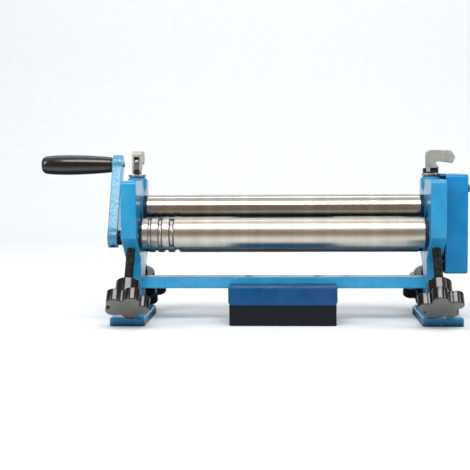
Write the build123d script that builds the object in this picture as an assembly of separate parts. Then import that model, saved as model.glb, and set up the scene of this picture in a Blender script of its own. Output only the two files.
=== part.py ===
from build123d import *
from math import acos, cos, degrees, pi, radians, sin, sqrt, tan
import os

# Bench slip roll: three rolls between two cast side frames. X runs along the rolls, Y to the back,
# Z up. The origin lies on the bench, midway between the frames and midway along their depth.

# --- rolls ---
roll_diameter = 35.0
roll_length = 319.4
roll_chamfer = 0.8
journal_diameter = 16.0
shaft_end_diameter = 14.0
shaft_end_chamfer = 1.0
wire_groove_widths = (4.0, 5.0, 6.0)
groove_land = 7.3
top_roll_y = 22.0
top_roll_z = 127.3
pinch_gap = 1.0                    # between the top and the pinch roll at rest
pinch_lean = 19.4                  # degrees that the pinch roll stands behind the top roll's plumb line
bending_roll_y = -24.5
bending_roll_z = 102.3

# --- fits ---
running_clearance = 0.05           # radial, shaft in bush, screw in thread
slide_clearance = 0.1              # each side, bearing block in its slot
moving_gap = 0.3                   # between faces that pass each other

# --- bushes and bearing blocks ---
bush_diameter = 19.0
bush_flange_diameter = 33.6
bush_flange_thickness = 2.8
block_width = 26.0
block_reach = 13.0                 # from the roll axis to either end, along the slot
block_chamfer = 0.8

# --- side frames ---
plate_thickness = 17.5
frame_depth = 114.0
frame_top = 162.7
frame_corner_radius = 5.0
frame_edge_fillet = 1.6
waist_depth = 37.0
waist_fillet = 14.0
adjuster_tilt = 35.0               # degrees of the slots and screws from vertical
screw_boss_reach = 22.0            # from a lower roll's rest axis to its screw boss face
foot_height = 10.0
foot_inner_overhang = 8.1
foot_outer_overhang = 14.0          # at the crank end, where the arm passes the foot
foot_gear_end_overhang = 20.0
foot_corner_radius = 5.0
foot_edge_fillet = 3.0
bench_hole_diameter = 9.0
bench_hole_spacing = 84.0

# --- travel of the two lower rolls along their slots ---
bending_travel_in = 14.0
bending_travel_out = 1.5
pinch_travel_in = 0.5
pinch_travel_out = 2.0

# --- adjusting screws and star knobs ---
screw_diameter = 10.0
screw_tip_diameter = 8.0
screw_tip_length = 2.3
knob_face_reach = 97.0             # from the roll's rest axis, along a bending adjuster
knob_length = 33.0
knob_star_thickness = 14.5
knob_end_wall = 7.0                # between the screw's end and the knob's face
pinch_shortening = 9.6             # of the pinch adjusters against the bending ones
knob_hub_diameter = 27.5
knob_hub_chamfer = 1.0
knob_lobes = 5
knob_lobe_radius = 9.0
knob_lobe_circle = 17.0
knob_valley_radius = 3.0
knob_edge_fillet = 1.0
knob_phase = 98.0

# --- gears and their shaft ends ---
gear_module = 2.0
gear_teeth = 18
gear_width = 12.0
gear_dedendum = 3.1
gear_tooth_thinning = 0.45
pressure_angle = 20.0
gear_spacer_diameter = 22.0
journal_overrun = 1.2              # of the journals past the bearing blocks
gear_spacer_length = 2.5
circlip_thickness = 1.2
circlip_diameter = 19.0
circlip_groove_depth = 0.6
circlip_gap = 4.0
shaft_tail = 2.6                   # shaft past its circlip
key_width = 4.0
key_height = 4.4
key_length = 9.0

# --- gear cover ---
cover_wall = 2.2
cover_standoff = 2.4               # between the frame's outer face and the cover's rim
cover_depth = 25.0
cover_front = -30.0
cover_back = 62.0
cover_bottom = 56.0
cover_top = 168.0
cover_corner_radius = 4.0
cover_edge_fillet = 2.0
pillar_diameter = 9.0
cover_fixings = ((-20.0, 152.0), (50.0, 150.0), (0.0, 66.0))
cover_screw_diameter = 5.0
cover_screw_length = 12.0
cover_screw_head_diameter = 9.0
cover_screw_head_height = 2.6

# --- tie bar ---
tie_bar_depth = 25.0
tie_bar_height = 13.1
tie_bar_bottom = 37.5
tie_bar_y = 0.5
tie_bar_chamfer = 1.0
tie_bolt_diameter = 6.0
tie_bolt_spacing = 12.0
tie_bolt_thread = 18.0
tie_bolt_head_diameter = 10.0
tie_bolt_head_height = 6.0
hex_socket = 5.0                   # across flats

# --- centre foot under the tie bar ---
centre_foot_width = 122.0
centre_foot_front = -55.0
centre_foot_bottom = 23.0
centre_foot_lip = 43.3
centre_foot_corner = 5.0
centre_pad_inset = 1.0
centre_pad_corner = 4.0
centre_screw_spacing = 80.0
centre_screw_length = 16.0

# --- crank ---
crank_throw = 98.0
crank_lean = 27.5                  # degrees back from vertical, at rest
crank_boss_radius = 12.0
crank_beam_width = 20.0
crank_arm_thickness = 12.0
crank_spacer_diameter = 17.5
crank_spacer_length = 15.5
crank_edge_fillet = 1.2
grub_screw_diameter = 6.0
spindle_diameter = 8.0
spindle_end_diameter = 6.0
spindle_overhang = 2.0             # past the inner face of the arm
grip_length = 88.5
grip_small_diameter = 19.2
grip_large_diameter = 24.7
grip_neck_diameter = 17.6
grip_neck_length = 1.5
grip_swell = 0.6                   # of its side over a straight taper
grip_full_at = 55.0                # from the arm, where it is thickest
grip_dome_length = 10.0
grip_dome_share = 0.93             # of the full radius, where the dome starts
grip_tip_share = 0.35
grip_wall_at_tip = 9.0

# --- clamp levers on the frames' top bosses ---
boss_radius = 11.4
boss_height = 3.4                  # above the frame's top
boss_depth = 16.7                  # below the frame's top
boss_chamfer = 3.0
stud_diameter = 8.0
lever_washer_diameter = 21.0
lever_washer_thickness = 2.6
pad_length = 17.9
pad_width = 6.0
pad_height = 5.8
tongue_thickness = 4.0
tongue_width = 7.0
lever_pin_height = 16.9            # above the boss face
lever_pin_diameter = 4.0
lever_eye_radius = 4.5
lever_width = 11.0
lever_fork_gap = 6.6
lever_fork_reach = 9.9
lever_reach = 28.1
lever_shoulder = 10.6              # heights above the pin
lever_crown = 13.3
lever_nose_top = 12.3
lever_edge_fillet = 0.6
lever_corner_radius = 1.8

# --- places worked out from the values above ---
frame_inner = roll_length / 2 + moving_gap + bush_flange_thickness + moving_gap
frame_outer = frame_inner + plate_thickness
frame_middle = (frame_inner + frame_outer) / 2
block_inner = frame_inner - moving_gap
block_outer = frame_outer - moving_gap
half_depth = frame_depth / 2
tilt = radians(adjuster_tilt)
front_axis = Vector(0, -sin(tilt), -cos(tilt))
rear_axis = Vector(0, sin(tilt), -cos(tilt))
roll_radius = roll_diameter / 2
centre_distance = roll_diameter + pinch_gap
top_place = Vector(0, top_roll_y, top_roll_z)
pinch_place = top_place + Vector(0, sin(radians(pinch_lean)), -cos(radians(pinch_lean))) * centre_distance
bending_place = Vector(0, bending_roll_y, bending_roll_z)
boss_top = frame_top + boss_height
knob_hub_reach = knob_face_reach - knob_length
knob_lobe_reach = knob_face_reach - knob_star_thickness
screw_end_reach = knob_face_reach - knob_end_wall
shaft_shoulder = block_outer + journal_overrun
gear_inner = shaft_shoulder + gear_spacer_length
gear_outer = gear_inner + gear_width
shaft_end = gear_outer + moving_gap + circlip_thickness + shaft_tail
crank_inner = shaft_shoulder + crank_spacer_length
crank_outer = crank_inner + crank_arm_thickness
crank_tip = pinch_place + Vector(0, sin(radians(crank_lean)), cos(radians(crank_lean))) * crank_throw
tie_bar_top = tie_bar_bottom + tie_bar_height
cover_rim = frame_outer + cover_standoff
cover_face = cover_rim + cover_depth
lever_pin_z = boss_top + lever_pin_height
UP = (Align.CENTER, Align.CENTER, Align.MIN)


def along_x(radius, x_start, x_end, place):
    """Cylinder along X between two X values, centred on place."""
    length = abs(x_end - x_start)
    middle = Vector((x_start + x_end) / 2, place.Y, place.Z)
    return Pos(*middle) * Rot(0, 90, 0) * Cylinder(radius, length)


def along_z(radius, z_start, z_end, x, y):
    return Pos(x, y, z_start) * Cylinder(radius, z_end - z_start, align=UP)


def block_between(x_range, y_range, z_range):
    size = [abs(high - low) for low, high in (x_range, y_range, z_range)]
    middle = [(high + low) / 2 for low, high in (x_range, y_range, z_range)]
    return Pos(*middle) * Box(*size)


def slot_plane(place, axis, x=0.0):
    """Plane whose Z runs outwards along an adjuster, from a roll's rest axis."""
    return Plane(origin=(x, place.Y, place.Z), x_dir=(1, 0, 0), z_dir=axis)


def ring(outer, inner, x_start, x_end, place):
    return along_x(outer, x_start, x_end, place) - along_x(inner, x_start, x_end, place)


# --- side frames ---

def boss_face_z(place, axis, y):
    """Height of the screw boss face where it passes a given Y."""
    face = place + axis * screw_boss_reach
    return face.Z - (y - face.Y) * axis.Y / axis.Z


def frame_outline():
    waist = waist_depth / 2
    foot_edge = waist + waist_fillet
    front_low = boss_face_z(bending_place, front_axis, -half_depth)
    front_waist = boss_face_z(bending_place, front_axis, -waist)
    rear_low = boss_face_z(pinch_place, rear_axis, half_depth)
    rear_waist = boss_face_z(pinch_place, rear_axis, waist)
    upper = Polyline(
        (-waist, foot_height + waist_fillet), (-waist, front_waist), (-half_depth, front_low),
        (-half_depth, frame_top), (half_depth, frame_top), (half_depth, rear_low),
        (waist, rear_waist), (waist, foot_height + waist_fillet),
    )
    rear_flare = RadiusArc((waist, foot_height + waist_fillet), (foot_edge, foot_height), waist_fillet)
    lower = Polyline(
        (foot_edge, foot_height), (half_depth, foot_height), (half_depth, 0),
        (-half_depth, 0), (-half_depth, foot_height), (-foot_edge, foot_height),
    )
    front_flare = RadiusArc((-foot_edge, foot_height), (-waist, foot_height + waist_fillet), waist_fillet)
    return make_face(Curve() + [upper, rear_flare, lower, front_flare])


def frame_plate():
    plate = extrude(Plane.YZ * frame_outline(), plate_thickness)
    upright = [edge for edge in plate.edges().filter_by(Axis.X) if edge.center().Z > foot_height + waist_fillet]
    corners = [edge for edge in upright if abs(abs(edge.center().Y) - half_depth) < moving_gap]
    plate = fillet(corners, frame_corner_radius)
    rims = [
        edge for edge in plate.faces().sort_by(Axis.X)[0].edges() + plate.faces().sort_by(Axis.X)[-1].edges()
        if edge.bounding_box().min.Z > foot_height + waist_fillet - moving_gap
    ]
    return fillet(rims, frame_edge_fillet)


def frame_foot(side):
    outer_overhang = foot_outer_overhang if side < 0 else foot_gear_end_overhang
    x_range = (side * (frame_inner - foot_inner_overhang), side * (frame_outer + outer_overhang))
    foot = block_between(sorted(x_range), (-half_depth, half_depth), (0, foot_height))
    foot = fillet(foot.edges().filter_by(Axis.Z), foot_corner_radius)
    return fillet(foot.faces().sort_by(Axis.Z)[-1].edges(), foot_edge_fillet)


def stud_boss(x):
    profile = Polyline(
        (0, frame_top - boss_depth), (plate_thickness / 2, frame_top - boss_depth),
        (boss_radius, frame_top - boss_depth / 2), (boss_radius, boss_top - boss_chamfer),
        (boss_radius - boss_chamfer, boss_top), (0, boss_top), close=True,
    )
    return Pos(x, top_roll_y, 0) * revolve(Plane.XZ * make_face(profile), Axis.Z)


def bearing_slot(place, axis, travel_in, travel_out):
    """Slot for one bearing block, over its whole travel, with the screw's threaded hole."""
    width = block_width + 2 * slide_clearance
    inner_end = -(block_reach + travel_in + moving_gap)
    outer_end = block_reach + travel_out + moving_gap
    slot = Pos(0, 0, inner_end) * Box(2 * frame_outer + plate_thickness, width, outer_end - inner_end, align=UP)
    return slot_plane(place, axis) * slot


def screw_hole(place, axis, x):
    hole = Cylinder(screw_diameter / 2 + running_clearance, screw_boss_reach + plate_thickness, align=UP)
    return slot_plane(place, axis, x) * hole


def side_frame(side):
    x = side * frame_middle
    frame = Pos(min(side * frame_inner, side * frame_outer), 0, 0) * frame_plate()
    frame = frame + frame_foot(side) + stud_boss(x)
    frame -= bearing_slot(bending_place, front_axis, bending_travel_in, bending_travel_out)
    frame -= bearing_slot(pinch_place, rear_axis, pinch_travel_in, pinch_travel_out)
    frame -= screw_hole(bending_place, front_axis, x) + screw_hole(pinch_place, rear_axis, x)
    frame -= along_x(bush_diameter / 2, side * (frame_inner - plate_thickness),
                     side * (frame_outer + plate_thickness), top_place)
    frame -= along_z(stud_diameter / 2 + running_clearance, top_roll_z, boss_top + boss_height, x, top_roll_y)
    for y in (-bench_hole_spacing / 2, bench_hole_spacing / 2):
        frame -= along_z(bench_hole_diameter / 2, -foot_height, 2 * foot_height, x, y)
    for place in tie_bolt_places():
        frame -= along_x(tie_bolt_diameter / 2 + running_clearance, side * (frame_inner - plate_thickness),
                         side * (frame_outer + plate_thickness), place)
    if side > 0:
        for y, z in cover_fixings:
            frame -= along_x(cover_screw_diameter / 2, frame_middle, frame_outer + plate_thickness, Vector(0, y, z))
    return frame


# --- tie bar and centre foot ---

def tie_bolt_places():
    z = tie_bar_bottom + tie_bar_height / 2
    return [Vector(0, tie_bar_y + step * tie_bolt_spacing / 2, z) for step in (-1, 1)]


def centre_screw_xs():
    return (-centre_screw_spacing / 2, centre_screw_spacing / 2)


def tie_bar():
    depth_range = (tie_bar_y - tie_bar_depth / 2, tie_bar_y + tie_bar_depth / 2)
    bar = block_between((-frame_inner, frame_inner), depth_range, (tie_bar_bottom, tie_bar_top))
    bar = chamfer(bar.edges().filter_by(Axis.X), tie_bar_chamfer)
    for side in (-1, 1):
        for place in tie_bolt_places():
            bar -= along_x(tie_bolt_diameter / 2 + running_clearance, side * (frame_inner - tie_bolt_thread),
                           side * (frame_inner + tie_bolt_thread), place)
    head_seat = tie_bar_top - tie_bolt_head_height
    for x in centre_screw_xs():
        bar -= along_z(tie_bolt_diameter / 2 + running_clearance, 0, tie_bar_top, x, tie_bar_y)
        bar -= along_z(tie_bolt_head_diameter / 2 + slide_clearance, head_seat, 2 * tie_bar_top, x, tie_bar_y)
    return bar


def cap_screw(shank_length):
    """Socket head screw pointing down -Z, its head's seat at Z = 0."""
    head = Cylinder(tie_bolt_head_diameter / 2, tie_bolt_head_height, align=UP)
    head = chamfer(head.faces().sort_by(Axis.Z)[-1].edges(), tie_bar_chamfer / 2)
    socket = Pos(0, 0, tie_bolt_head_height / 2) * extrude(
        RegularPolygon(hex_socket / 2, 6, major_radius=False), tie_bolt_head_height)
    shank = Pos(0, 0, -shank_length) * Cylinder(tie_bolt_diameter / 2, shank_length, align=UP)
    return head - socket + shank


def tie_bar_bolts():
    bolts = []
    for side in (-1, 1):
        for place in tie_bolt_places():
            seat = Plane(origin=(side * frame_outer, place.Y, place.Z), z_dir=(side, 0, 0))
            bolts.append(seat * cap_screw(plate_thickness + tie_bolt_thread - moving_gap))
    return Compound(children=bolts)


def centre_foot():
    half = centre_foot_width / 2
    back = tie_bar_y + tie_bar_depth / 2
    lip_back = tie_bar_y - tie_bar_depth / 2 - slide_clearance
    foot = block_between((-half, half), (centre_foot_front, back), (centre_foot_bottom, tie_bar_bottom))
    foot += block_between((-half, half), (centre_foot_front, lip_back), (centre_foot_bottom, centre_foot_lip))
    ends = [edge for edge in foot.edges().filter_by(Axis.Y) if edge.center().Z < centre_foot_bottom + moving_gap]
    foot = fillet(ends, centre_foot_corner)
    front = foot.faces().sort_by(Axis.Y)[0]
    foot = fillet(front.edges(), frame_edge_fillet)
    for x in centre_screw_xs():
        foot -= along_z(tie_bolt_diameter / 2 + running_clearance, centre_foot_bottom, tie_bar_bottom, x, tie_bar_y)
    return foot


def centre_foot_pad():
    half = centre_foot_width / 2 - centre_pad_inset
    y_range = (centre_foot_front + centre_pad_inset, tie_bar_y + tie_bar_depth / 2 - centre_pad_inset)
    pad = block_between((-half, half), y_range, (0, centre_foot_bottom))
    pad = fillet(pad.edges().filter_by(Axis.Z), centre_pad_corner)
    return chamfer(pad.faces().sort_by(Axis.Z)[0].edges(), roll_chamfer)


def centre_foot_screws():
    seat = tie_bar_top - tie_bolt_head_height
    screws = [Pos(x, tie_bar_y, seat) * cap_screw(centre_screw_length) for x in centre_screw_xs()]
    return Compound(children=screws)


# --- bushes, bearing blocks and adjusters ---

def bush(place, side, flange_outer):
    """Flanged bush; flange_outer is the X where its flange meets what carries it."""
    flange_inner = flange_outer - bush_flange_thickness
    tail = flange_outer + plate_thickness
    body = along_x(bush_flange_diameter / 2, side * flange_inner, side * flange_outer, place)
    body = chamfer(body.edges().filter_by(GeomType.CIRCLE), slide_clearance * 4)
    body += along_x(bush_diameter / 2, side * flange_outer, side * tail, place)
    return body - along_x(journal_diameter / 2 + running_clearance, side * flange_inner, side * tail, place)


def bearing_block(place, axis, side):
    middle = side * (block_inner + block_outer) / 2
    block = slot_plane(place, axis, middle) * Box(block_outer - block_inner, block_width, 2 * block_reach)
    block = chamfer(block.edges().filter_by(Axis.X), block_chamfer)
    block -= along_x(bush_diameter / 2, side * block_inner, side * block_outer, place)
    socket = Pos(0, 0, block_reach - screw_tip_length - moving_gap) * Cylinder(
        screw_tip_diameter / 2 + running_clearance, plate_thickness, align=UP)
    return block - slot_plane(place, axis, side * frame_middle) * socket


def adjusting_screw(place, axis, shortening, side):
    thread_start = block_reach + moving_gap
    length = screw_end_reach - shortening - thread_start
    body = Pos(0, 0, thread_start) * Cylinder(screw_diameter / 2, length, align=UP)
    body = chamfer(body.edges().filter_by(GeomType.CIRCLE), shaft_end_chamfer / 2)
    tip = Pos(0, 0, block_reach - screw_tip_length) * Cylinder(
        screw_tip_diameter / 2, screw_tip_length + shaft_end_chamfer, align=UP)
    return slot_plane(place, axis, side * frame_middle) * (body + tip)


def around(radius, angle):
    return Vector(radius * cos(angle), radius * sin(angle))


def star_outline():
    """Round lobes joined by round valleys that run smoothly into them."""
    half_step = pi / knob_lobes
    span = knob_lobe_radius + knob_valley_radius
    valley_circle = knob_lobe_circle * cos(half_step) + sqrt(span ** 2 - (knob_lobe_circle * sin(half_step)) ** 2)

    def meeting(lobe_angle, valley_angle):
        centre = around(knob_lobe_circle, lobe_angle)
        return centre + (around(valley_circle, valley_angle) - centre) * (knob_lobe_radius / span)

    arcs = []
    for lobe in range(knob_lobes):
        angle = radians(knob_phase) + 2 * lobe * half_step
        valley = angle + half_step
        lobe_end = meeting(angle, valley)
        arcs.append(ThreePointArc(meeting(angle, angle - half_step),
                                  around(knob_lobe_circle + knob_lobe_radius, angle), lobe_end))
        arcs.append(ThreePointArc(lobe_end, around(valley_circle - knob_valley_radius, valley),
                                  meeting(valley + half_step, valley)))
    return make_face(Curve() + arcs)


def star_knob(place, axis, shortening, side):
    star = extrude(Pos(0, 0, knob_lobe_reach) * star_outline(), knob_face_reach - knob_lobe_reach)
    rims = star.faces().sort_by(Axis.Z)[0].edges() + star.faces().sort_by(Axis.Z)[-1].edges()
    star = fillet(rims, knob_edge_fillet)
    hub_radius = knob_hub_diameter / 2
    hub = Pos(0, 0, knob_hub_reach) * Cylinder(hub_radius, knob_lobe_reach - knob_hub_reach + knob_edge_fillet,
                                               align=UP)
    hub = chamfer(hub.faces().sort_by(Axis.Z)[0].edges(), knob_hub_chamfer)
    bore = Pos(0, 0, knob_hub_reach) * Cylinder(screw_diameter / 2, screw_end_reach - knob_hub_reach, align=UP)
    turned = Rot(0, 0, 0 if side > 0 else 180 / knob_lobes)
    knob = Pos(0, 0, -shortening) * (turned * (star + hub) - bore)
    return slot_plane(place, axis, side * frame_middle) * knob


# --- rolls ---

def roll_body(place):
    body = along_x(roll_radius, -roll_length / 2, roll_length / 2, place)
    return chamfer(body.edges().filter_by(GeomType.CIRCLE), roll_chamfer)


def cut_wire_grooves(body, place):
    """Three round-bottomed grooves at the left end, one for each wire size."""
    x = -roll_length / 2
    for width in wire_groove_widths:
        x += groove_land + width / 2
        tool = revolve(
            Plane(origin=(x, place.Y, place.Z), x_dir=(1, 0, 0), z_dir=(0, -1, 0))
            * Pos(0, roll_radius) * Circle(width / 2),
            Axis(origin=(x, place.Y, place.Z), direction=(1, 0, 0)))
        body -= tool
        x += width / 2
    return body


def key_seat(place, x_start, x_end, height):
    """Key or keyway above a shaft end, centred on its circumference."""
    low = shaft_end_diameter / 2 - key_height / 2
    x_range = sorted((x_start, x_end))
    y_range = (place.Y - key_width / 2, place.Y + key_width / 2)
    return block_between(x_range, y_range, (place.Z + low, place.Z + low + height))


def gear_shaft_end(place):
    """Right-hand shaft end: journal, gear seat, keyway and circlip groove."""
    end = along_x(journal_diameter / 2, roll_length / 2, shaft_shoulder, place)
    seat = along_x(shaft_end_diameter / 2, shaft_shoulder, shaft_end, place)
    seat = chamfer(seat.faces().sort_by(Axis.X)[-1].edges(), shaft_end_chamfer)
    end += seat
    end -= key_seat(place, *key_span(), key_height)
    groove_start = gear_outer
    groove_end = gear_outer + circlip_thickness + moving_gap
    return end - ring(shaft_end_diameter, shaft_end_diameter / 2 - circlip_groove_depth,
                      groove_start, groove_end, place)


def key_span():
    middle = (gear_inner + gear_outer) / 2
    return middle - key_length / 2, middle + key_length / 2


def crank_key_span():
    middle = -(crank_inner + crank_outer) / 2
    return middle - key_length / 2, middle + key_length / 2


def top_roll():
    roll = roll_body(top_place) + gear_shaft_end(top_place)
    return roll + along_x(journal_diameter / 2, -roll_length / 2, -block_outer, top_place)


def pinch_roll():
    roll = cut_wire_grooves(roll_body(pinch_place), pinch_place) + gear_shaft_end(pinch_place)
    roll += along_x(journal_diameter / 2, -roll_length / 2, -shaft_shoulder, pinch_place)
    roll += along_x(shaft_end_diameter / 2, -shaft_shoulder, -crank_outer, pinch_place)
    return roll - key_seat(pinch_place, *crank_key_span(), key_height)


def bending_roll():
    roll = cut_wire_grooves(roll_body(bending_place), bending_place)
    for side in (-1, 1):
        roll += along_x(journal_diameter / 2, side * roll_length / 2, side * block_outer, bending_place)
    return roll


# --- gears ---

def involute_angle(radius, base_radius):
    roll_out = acos(min(1.0, base_radius / radius))
    return tan(roll_out) - roll_out


def tooth_points():
    """Right flank of one tooth as (radius, half angle) pairs, from root to tip."""
    pitch_radius = gear_module * gear_teeth / 2
    base_radius = pitch_radius * cos(radians(pressure_angle))
    root_radius = pitch_radius - gear_dedendum
    tip_radius = pitch_radius + gear_module
    half_tooth = (pi * gear_module / 2 - gear_tooth_thinning) / 2 / pitch_radius
    half_base = half_tooth + involute_angle(pitch_radius, base_radius)
    points = [(root_radius, half_base)]
    steps = 4
    for step in range(steps + 1):
        radius = base_radius + (tip_radius - base_radius) * step / steps
        points.append((radius, half_base - involute_angle(radius, base_radius)))
    return points


def gear_outline(first_tooth):
    """Gear face, with the middle of one tooth at the angle first_tooth, in degrees."""
    flank = tooth_points()
    corners = []
    for tooth in range(gear_teeth):
        middle = radians(first_tooth) + 2 * pi * tooth / gear_teeth
        rising = [(radius, middle - half) for radius, half in flank]
        falling = [(radius, middle + half) for radius, half in reversed(flank)]
        corners += [(radius * cos(angle), radius * sin(angle)) for radius, angle in rising + falling]
    return make_face(Polyline(*corners, close=True))


def spur_gear(place, first_tooth):
    outline = gear_outline(first_tooth) - Circle(shaft_end_diameter / 2 + running_clearance / 2)
    gear = extrude(Plane(origin=(gear_inner, place.Y, place.Z), x_dir=(0, 1, 0), z_dir=(1, 0, 0)) * outline,
                   gear_width)
    return gear - key_seat(place, gear_inner, gear_outer, key_height)


def line_of_centres():
    """Direction from the top roll to the pinch roll in the gears' plane, in degrees."""
    return pinch_lean - 90


def gear_key(place):
    return key_seat(place, *key_span(), key_height)


def gear_spacer(place):
    return ring(gear_spacer_diameter / 2, shaft_end_diameter / 2 + running_clearance,
                shaft_shoulder, gear_inner, place)


def circlip(place):
    start = gear_outer + moving_gap / 2
    clip = ring(circlip_diameter / 2, shaft_end_diameter / 2 - circlip_groove_depth + running_clearance,
                start, start + circlip_thickness, place)
    y_range = (place.Y - circlip_gap / 2, place.Y + circlip_gap / 2)
    return clip - block_between((start, start + circlip_thickness), y_range,
                                (place.Z - circlip_diameter, place.Z))


# --- gear cover ---

def gear_cover():
    cover = block_between((cover_rim, cover_face), (cover_front, cover_back), (cover_bottom, cover_top))
    cover = fillet(cover.edges().filter_by(Axis.X), cover_corner_radius)
    cover = fillet(cover.faces().sort_by(Axis.X)[-1].edges(), cover_edge_fillet)
    hollow = block_between((frame_outer, cover_face - cover_wall),
                           (cover_front + cover_wall, cover_back - cover_wall),
                           (cover_bottom + cover_wall, cover_top - cover_wall))
    hollow = fillet(hollow.edges().filter_by(Axis.X), cover_corner_radius - cover_wall / 2)
    cover -= hollow
    for y, z in cover_fixings:
        cover -= along_x(cover_screw_diameter / 2 + slide_clearance, frame_outer,
                         frame_outer + 2 * cover_depth, Vector(0, y, z))
    return cover


def gear_cover_pillars():
    pillars = []
    for y, z in cover_fixings:
        place = Vector(0, y, z)
        pillar = along_x(pillar_diameter / 2, frame_outer, cover_face - cover_wall, place)
        pillar += along_x(cover_screw_diameter / 2, frame_middle, frame_outer, place)
        pillar -= along_x(cover_screw_diameter / 2, cover_face - cover_screw_length, cover_face, place)
        pillars.append(pillar)
    return Compound(children=pillars)


def gear_cover_screws():
    screws = []
    for y, z in cover_fixings:
        seat = Plane(origin=(cover_face, y, z), z_dir=(1, 0, 0))
        head = Cylinder(cover_screw_head_diameter / 2, cover_screw_head_height, align=UP)
        head = fillet(head.faces().sort_by(Axis.Z)[-1].edges(), cover_screw_head_height / 2)
        socket = Pos(0, 0, cover_screw_head_height / 2) * extrude(
            RegularPolygon(hex_socket / 3, 6, major_radius=False), cover_screw_head_height)
        shank_length = cover_screw_length - moving_gap
        shank = Pos(0, 0, -shank_length) * Cylinder(cover_screw_diameter / 2, shank_length, align=UP)
        screws.append(seat * (head - socket + shank))
    return Compound(children=screws)


# --- crank ---

def crank_plane(x):
    """Plane across the crank arm, its X pointing from the roll axis to the grip."""
    lean = radians(crank_lean)
    return Plane(origin=(x, pinch_place.Y, pinch_place.Z), x_dir=(0, sin(lean), cos(lean)), z_dir=(-1, 0, 0))


def crank_arm():
    beam = Pos(crank_throw / 2, 0) * Rectangle(crank_throw, crank_beam_width)
    outline = beam + Circle(crank_boss_radius) + Pos(crank_throw, 0) * Circle(crank_boss_radius)
    arm = extrude(crank_plane(-crank_inner) * outline, crank_arm_thickness)
    across = [edge for edge in arm.edges().filter_by(Axis.X)]
    arm = fillet(across, crank_boss_radius)
    rims = arm.faces().sort_by(Axis.X)[0].edges() + arm.faces().sort_by(Axis.X)[-1].edges()
    arm = fillet(rims, crank_edge_fillet)
    arm -= along_x(shaft_end_diameter / 2 + running_clearance / 2, -crank_inner, -crank_outer, pinch_place)
    arm -= key_seat(pinch_place, -crank_inner, -crank_outer, key_height)
    arm -= along_x(spindle_diameter / 2 + running_clearance / 2, -crank_inner, -crank_outer, crank_tip)
    return arm - grub_plane() * Cylinder(grub_screw_diameter / 2 + running_clearance / 2, crank_boss_radius, align=UP)


def grub_plane():
    lean = radians(crank_lean)
    middle = -(crank_inner + crank_outer) / 2
    return Plane(origin=(middle, pinch_place.Y, pinch_place.Z), x_dir=(1, 0, 0), z_dir=(0, -sin(lean), -cos(lean)))


def crank_grub_screw():
    start = shaft_end_diameter / 2 + running_clearance
    length = crank_boss_radius - start - shaft_end_chamfer
    body = Pos(0, 0, start) * Cylinder(grub_screw_diameter / 2, length, align=UP)
    socket = Pos(0, 0, start + length / 2) * extrude(RegularPolygon(hex_socket / 3, 6, major_radius=False), length)
    return grub_plane() * (body - socket)


def crank_spacer():
    return ring(crank_spacer_diameter / 2, shaft_end_diameter / 2 + running_clearance / 2,
                -shaft_shoulder, -crank_inner, pinch_place)


def crank_key():
    return key_seat(pinch_place, *crank_key_span(), key_height)


def grip_spindle():
    tip = grip_start() - grip_length + grip_wall_at_tip
    spindle = along_x(spindle_diameter / 2, -crank_inner, tip, crank_tip)
    spindle += along_x(spindle_end_diameter / 2, -crank_inner + spindle_overhang, -crank_inner, crank_tip)
    return chamfer(spindle.faces().sort_by(Axis.X)[-1].edges(), shaft_end_chamfer / 2)


def grip_start():
    return -crank_outer - moving_gap


def grip():
    """Tapered grip: thin at the arm, full near the middle, domed at the tip."""
    neck = grip_neck_diameter / 2
    small = grip_small_diameter / 2
    large = grip_large_diameter / 2
    shoulder = grip_neck_length + (small - neck)
    side_middle = ((shoulder + grip_full_at) / 2, (small + large) / 2 + grip_swell)
    side = ThreePointArc((shoulder, small), side_middle, (grip_full_at, large))
    dome = Spline((grip_full_at, large), (grip_length - grip_dome_length, large * grip_dome_share),
                  (grip_length, large * grip_tip_share), tangents=[(1, 0), (0, -1)])
    start = Polyline((0, spindle_diameter / 2), (0, neck), (grip_neck_length, neck), (shoulder, small))
    tip = Polyline((grip_length, large * grip_tip_share), (grip_length, 0), (grip_length - grip_wall_at_tip + moving_gap, 0),
                   (grip_length - grip_wall_at_tip + moving_gap, spindle_diameter / 2 + running_clearance),
                   (0, spindle_diameter / 2 + running_clearance), (0, spindle_diameter / 2))
    half = make_face(Curve() + [start, side, dome, tip])
    frame = Plane(origin=(grip_start(), crank_tip.Y, crank_tip.Z), x_dir=(-1, 0, 0), z_dir=(0, 1, 0))
    return revolve(frame * half, Axis(origin=tuple(frame.origin), direction=(-1, 0, 0)))


# --- clamp levers ---

def lever_place(side):
    """The lever's own frame: origin on the stud at bench height, X along the paddle."""
    heading = 0 if side > 0 else 90
    return Pos(side * frame_middle, top_roll_y, 0) * Rot(0, 0, heading)


def lever_stud(side):
    shank_low = top_roll_z + bush_diameter / 2 + moving_gap
    shank_top = boss_top + lever_washer_thickness - moving_gap
    stud = along_z(stud_diameter / 2, shank_low, shank_top, 0, 0)
    stud += block_between((-tongue_width / 2, tongue_width / 2), (-tongue_thickness / 2, tongue_thickness / 2),
                          (shank_top - moving_gap, lever_pin_z))
    stud += Pos(0, 0, lever_pin_z) * Rot(90, 0, 0) * Cylinder(lever_eye_radius, tongue_thickness)
    stud -= Pos(0, 0, lever_pin_z) * Rot(90, 0, 0) * Cylinder(lever_pin_diameter / 2, lever_width)
    return lever_place(side) * stud


def lever_washer(side):
    washer = Cylinder(lever_washer_diameter / 2, lever_washer_thickness, align=UP)
    washer = chamfer(washer.faces().sort_by(Axis.Z)[-1].edges(), lever_edge_fillet)
    washer -= Cylinder(stud_diameter / 2 + running_clearance, lever_washer_thickness, align=UP)
    return Pos(side * frame_middle, top_roll_y, boss_top) * washer


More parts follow.
